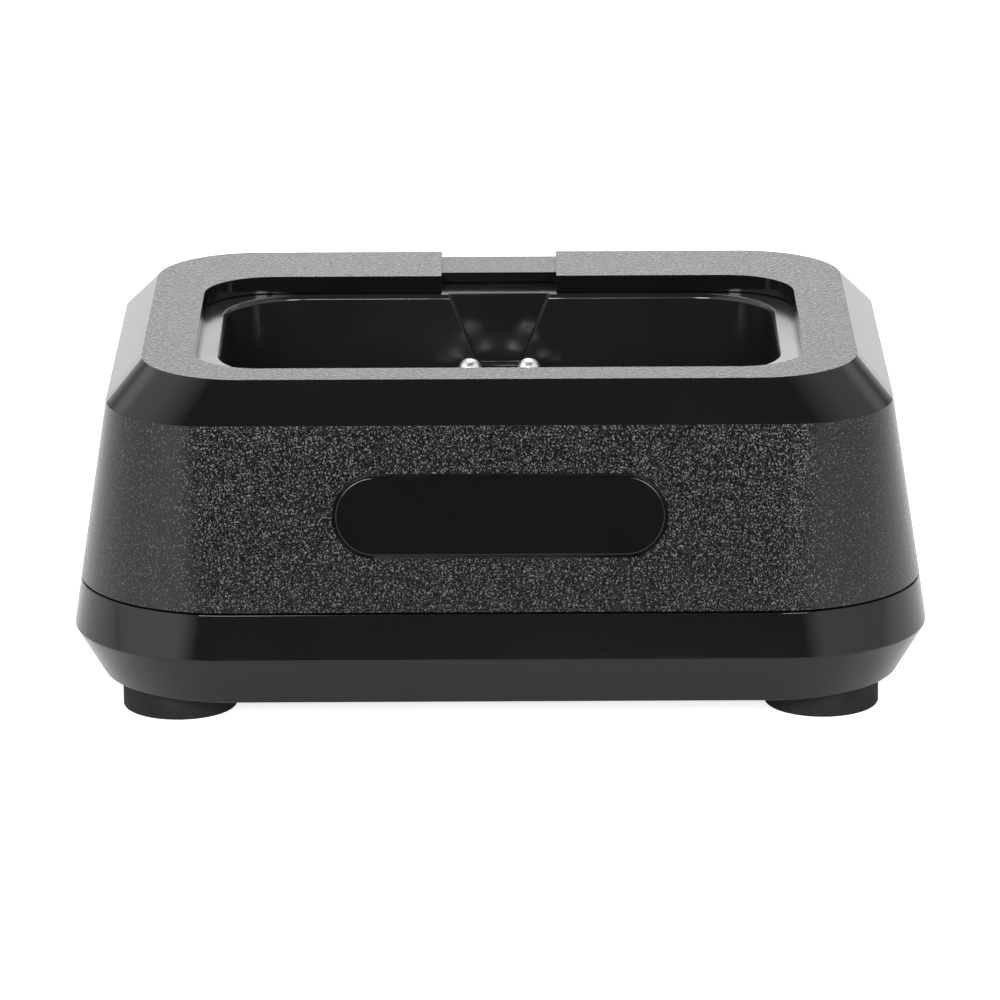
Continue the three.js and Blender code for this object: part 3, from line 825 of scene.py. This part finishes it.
# %% Liner shell
FLOOR = SEAM + 4.4
UNDERSIDE = SEAM + 2.6
FLANGE = LEDGE - 2
lap = grown(mouth, 1.4)
liner = stack("liner", [
    grown(well, -1.4, z=FLOOR),
    grown(well, -0.85, z=FLOOR + 0.25),
    grown(well, -0.6, z=FLOOR + 0.8),
    dict(well, z=(LEDGE - 0.4) * MM),
    grown(well, 0.4, z=LEDGE),
    dict(lap, z=LEDGE * MM),
    dict(lap, z=FLANGE * MM),
    grown(well, 1.6, z=FLANGE),
    grown(well, 1.0, z=UNDERSIDE),
])
tell(liner, "well and flange")

# %% [markdown]
# Under the thumb notch the flange reaches further back, as a tongue. The shell is bisected at the
# tongue's two sides, which splits the flange's rear edge, and the piece between is extruded.

# %% Tongue
TONGUE = NOTCH + 1.4
edit(liner)
for side in (-1, 1):
    bpy.ops.mesh.select_all(action="SELECT")
    bpy.ops.mesh.bisect(plane_co=(side * TONGUE * MM, 0, 0), plane_no=(1, 0, 0))
flange_back = lap["y"] + lap["d"]
select_faces(lambda middle, normal: abs(middle.y - flange_back) < 0.01 * MM and abs(middle.x) < MM)
reach = (NICHE_BACK + 1.4) * MM - flange_back
bpy.ops.mesh.extrude_region_move(TRANSFORM_OT_translate={"value": (0, reach, 0)})
outward()
tell(liner, "tongue")

# %% [markdown]
# A tapered groove, the guide, runs down the rear wall from the notch and leads the clipper's own
# contacts to the pins. The pins stand in a rounded block on the floor. The guide is cut and the
# block is joined with Booleans, because both cross the well's drafted walls at an angle.

# %% Guide, pedestal and bores
PIN_X, PIN_Y = middle_of("contact_pin_right")
PEDESTAL = FLOOR + 9
GUIDE_TOP = 5.5
GUIDE_FOOT = 2.3
GUIDE_DEPTH = 0.7
well_back = well["y"] + well["d"]
guide_low = Vector((-GUIDE_TOP * MM, well_back - 4 * MM, PEDESTAL * MM))
guide = block("guide", guide_low, (GUIDE_TOP * MM, well_back + GUIDE_DEPTH * MM, LEDGE * MM))
edit(guide)
select_points(lambda point: point.z < (PEDESTAL + 1) * MM)
narrowed = (GUIDE_FOOT / GUIDE_TOP, 1, 1)
bpy.ops.transform.resize(value=narrowed, center_override=(0, 0, PEDESTAL * MM))
select_faces(lambda middle, normal: normal.z > 0.5)
bpy.ops.mesh.extrude_region_move(TRANSFORM_OT_translate={"value": (0, 0, MM)})
deselect()
combine(liner, guide)
PEDESTAL_ROUND = 0.6
plan = section(6.9, 3.7, 2.0, FLOOR - 0.5, y=PIN_Y / MM)
pedestal = stack("pedestal", [
    plan,
    dict(plan, z=(PEDESTAL - PEDESTAL_ROUND) * MM),
    grown(plan, -0.3 * PEDESTAL_ROUND, z=PEDESTAL - 0.3 * PEDESTAL_ROUND),
    grown(plan, -PEDESTAL_ROUND, z=PEDESTAL),
])
combine(liner, pedestal, "UNION")
for side in (-1, 1):
    combine(liner, turned("bore", [(2.35, 0), (2.35, PEDESTAL + 1)], side * PIN_X, PIN_Y))
tell(liner, "guide, pedestal and bores")

# %% [markdown]
# Underneath, a lug at each side takes a screw up into the housing, and two posts carry the circuit
# board. They could be separate pieces, but on a moulding they are one with the well, so they are
# joined to it. Each is placed by the screw that goes through it.

# %% Lugs and posts underneath
SCREW_TO_LUG = 1.65
LUG_THICKNESS = 2.0
LUG_HALF = 3.0
LUG_REACH = 2.2
for side in ("left", "right"):
    x, y = middle_of("insert_screw_" + side)
    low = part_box("insert_screw_" + side)[0].z / MM + SCREW_TO_LUG
    inner_end = math.copysign(well["w"] + 0.2 * MM, x)
    outer_end = x + math.copysign(LUG_REACH * MM, x)
    lug_low = (min(inner_end, outer_end), y - LUG_HALF * MM, low * MM)
    lug_high = (max(inner_end, outer_end), y + LUG_HALF * MM, (low + LUG_THICKNESS) * MM)
    combine(liner, block("lug", lug_low, lug_high), "UNION")
    combine(liner, turned("bore", [(1.4, 0), (1.4, low + LUG_THICKNESS + 1)], x, y))
    x, y = middle_of("board_screw_" + side)
    combine(liner, turned("post", [(2.6, SEAM), (2.6, UNDERSIDE + 0.5)], x, y), "UNION")
    combine(liner, turned("bore", [(1.15, 0), (1.15, UNDERSIDE + 0.7)], x, y))
ease_edges(liner, 0.2)
paint(liner, ["liner_polish"])
place(liner, "stand", "gloss_plastic", "pocket_insert")

# %% [markdown]
# ## Base tray
# The tray closes the stand from below. Outside it is the polished band and the undercut that makes
# the stand seem to float. Inside it has a lip that locates the housing and towers for the corner
# screws, and its underside has a seat for each foot.

# %% Tray shell
BASE_FLOOR = UNDERCUT + 2.2
LIP = SEAM + 1.4
TRAY_TOP = SEAM - 0.1
SEAT = UNDERCUT + 0.8
HEAD_TOP = SEAT + 2.6
cavity = grown(parting, -3.8)
lip = grown(parting, -2.7)
tray = stack("tray", [
    bottom,
    waist,
    mixed(waist, parting, TRAY_TOP),
    dict(lip, z=TRAY_TOP * MM),
    dict(lip, z=LIP * MM),
    dict(cavity, z=LIP * MM),
    dict(cavity, z=BASE_FLOOR * MM),
])
relief_low = (window_low.x, cavity["d"] - 2 * MM, TRAY_TOP * MM)
relief_high = (window_high.x, parting["d"] - WALL * MM, BEYOND)
combine(tray, block("relief", relief_low, relief_high))
tell(tray, "walls and lip")

# %% [markdown]
# Each foot hides a screw, so a corner of the tray is a small stack: a seat for the foot, a wider
# bore for the screw's head, and a tower that carries the screw up to the housing. The towers are
# joined first, so that the bores go through them as well. Two stakes, melted over like rivets,
# hold the ballast plate, and two rests hold up the board's rear edge.

# %% Towers, seats, stakes and rests
BURIED = BASE_FLOOR - 0.5
for x, y in FEET.values():
    combine(tray, turned("tower", [(4.4, BURIED), (4.4, TRAY_TOP)], x, y), "UNION")
    combine(tray, turned("seat", [(6.2, 0), (6.2, SEAT)], x, y, sides=64))
    combine(tray, turned("head_bore", [(2.9, 0), (2.9, HEAD_TOP)], x, y))
    combine(tray, turned("bore", [(1.7, 0), (1.7, LIP)], x, y))
ballast_y = middle_of("ballast_plate")[1]
board_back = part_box("circuit_board")[1].y
board_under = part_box("circuit_board")[0].z / MM - 0.1
for side in ("left", "right"):
    x = middle_of("board_screw_" + side)[0]
    head = BASE_FLOOR + 1.8
    rivet = [(1.8, BURIED), (1.8, head), (2.9, head), (2.4, head + 0.6), (1.2, head + 1)]
    combine(tray, turned("stake", rivet, x, ballast_y), "UNION")
    rest = turned("rest", [(1.8, BURIED), (1.8, board_under)], x, board_back - 4 * MM)
    combine(tray, rest, "UNION")
ease_edges(tray, 0.15)
paint(tray, ["gloss_plastic"])
place(tray, "stand", "gloss_plastic", "base_cover")

# %% [markdown]
# ## Feet
# Each foot is a turned rubber disc with a shallow hollow in its sole, so that it stands on a ring,
# which grips a wet shelf. It is one disc drawn up through its profile. A scaled cylinder would
# leave the edge sharp, and on a soft part the eye looks for the round. One foot is made and then
# copied to each corner.

# %% Feet
FOOT = 6.0
FOOT_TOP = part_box("foot_front_left")[1].z / MM
sole = [(3.4, 0.35), (4.1, 0.35), (4.4, 0), (5.75, 0), (5.92, 0.08), (FOOT, 0.25), (FOOT, FOOT_TOP)]
foot = turned("foot", sole, sides=72)
ease_edges(foot, 0.08, steps=2)
paint(foot, ["rubber"])
for name, (x, y) in FEET.items():
    place(copied(foot, "rubber_" + name, x, y), "stand", "rubber", "foot_" + name)
bpy.data.objects.remove(foot)

# %% [markdown]
# ## Charging contacts
# The two pins are domed and run in plated brass sleeves. A pin has a collar that stops it against
# the sleeve's neck, so pin and sleeve are drawn from the same few heights. The dome's steps come
# from the circle they lie on, and one pin and one sleeve are made and copied to either side.

# %% Pins and sleeves
PIN = 1.3
PIN_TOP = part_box("contact_pin_left")[1].z / MM
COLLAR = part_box("contact_pin_left")[0].z / MM
NECK = COLLAR + 1
SLEEVE_TOP = PEDESTAL - 0.1
SLEEVE_FLOOR = SEAM + 0.8
dome = []
for degrees in range(0, 90, 9):
    angle = math.radians(degrees)
    dome.append((PIN * math.cos(angle), PIN_TOP - PIN + PIN * math.sin(angle)))
PIN_CLEARANCE = 0.05
collar = [(1.6, COLLAR), (1.6, NECK - PIN_CLEARANCE), (PIN, NECK - PIN_CLEARANCE)]
pin = turned("pin", collar + dome + [(0.04, PIN_TOP)])
outside = [(3.0, SEAM + 0.05), (3.0, SLEEVE_FLOOR), (2.25, SLEEVE_FLOOR), (2.25, SLEEVE_TOP)]
inside = [(1.37, SLEEVE_TOP), (1.37, NECK), (1.7, NECK), (1.7, SLEEVE_FLOOR)]
sleeve = turned("sleeve", outside + inside)
for piece in (pin, sleeve):
    ease_edges(piece, 0.05, steps=2)
    paint(piece, ["contact_metal"])
for side, x in (("left", -PIN_X), ("right", PIN_X)):
    moving = copied(pin, "pin_" + side, x, PIN_Y)
    place(moving, side + "_pin", "contact_metal", "contact_pin_" + side)
    place(copied(sleeve, "sleeve_" + side, x, PIN_Y), "stand", "brass", "contact_sleeve_" + side)
for piece in (pin, sleeve):
    bpy.data.objects.remove(piece)

# %% [markdown]
# ## Power socket
# The socket at the back is a moulded block with a round bore, a centre pin and a spring leaf. A
# plug finds its way in by the chamfer at the bore's mouth. The bore is drawn upright, chamfer and
# all, and laid down along Y before it cuts, because a turned piece is simplest to draw on the Z
# axis.


# %% Power socket
def laid_back(piece, y):
    """Lays a piece turned about Z down along the socket's axis, with its base at y."""
    piece.rotation_euler = (-math.pi / 2, 0, 0)
    piece.location = (0, y, (jack_low.z + jack_high.z) / 2)
    return settle(piece)


BORE = 3.2
LEAD_IN = 0.4
BACK_WALL = 2.5
depth = (jack_high.y - jack_low.y) / MM - BACK_WALL
wide = BORE + LEAD_IN
socket = block("socket", jack_low, jack_high)
bore_steps = [(BORE, 0), (BORE, depth - LEAD_IN), (wide, depth), (wide, depth + 1)]
bore = turned("bore", bore_steps, sides=64)
combine(socket, laid_back(bore, jack_low.y + BACK_WALL * MM))
combine(socket, laid_back(turned("tail", [(1.15, 0), (1.15, 5)]), jack_low.y - MM))
leaf_low, leaf_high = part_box("power_jack_leaf")
slot_gap = Vector((0, 0.2, 0.3)) * MM
slot_low = Vector(((BORE - 1) * MM, leaf_low.y, leaf_low.z)) - slot_gap
combine(socket, block("slot", slot_low, Vector((BEYOND, leaf_high.y, leaf_high.z)) + slot_gap))
ease_edges(socket, 0.15)
paint(socket, ["socket_plastic"])
place(socket, "stand", "socket_plastic", "power_jack_body")

# %% [markdown]
# The centre pin takes the supply from the plug. It is stepped, with a flange that holds it in the
# block, and its tip is rounded so that it doesn't scrape. Like the bore, it is turned upright and
# then laid down.

# %% Centre pin
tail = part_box("power_jack_pin")[0].y
length = (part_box("power_jack_pin")[1].y - tail) / MM
tip = [(1.05, length - 0.75), (0.95, length - 0.4), (0.7, length - 0.12), (0.4, length)]
flange = [(1.9, 0), (1.9, 0.5), (1.05, 0.5)]
centre_pin = turned("centre_pin", flange + tip, sides=32)
laid_back(centre_pin, tail)
ease_edges(centre_pin, 0.04, steps=2)
paint(centre_pin, ["brass"])
place(centre_pin, "stand", "brass", "power_jack_pin")

# %% [markdown]
# ## What stays as it came
# Springs, screws, ballast, board and the parts on it have the right shape already. They keep their
# meshes and get their finishes by the slot that the record gives each of them.

# %% Finishes of the nodes that stay
slots = {row["node"]: row["material_slot"] for row in frame["record"]["subparts"]}
for name, node in frame["nodes"].items():
    node.data.materials.clear()
    node.data.materials.append(FINISH[slots[name]])
print("nodes in view", sum(not node.hide_render for node in frame["nodes"].values()))
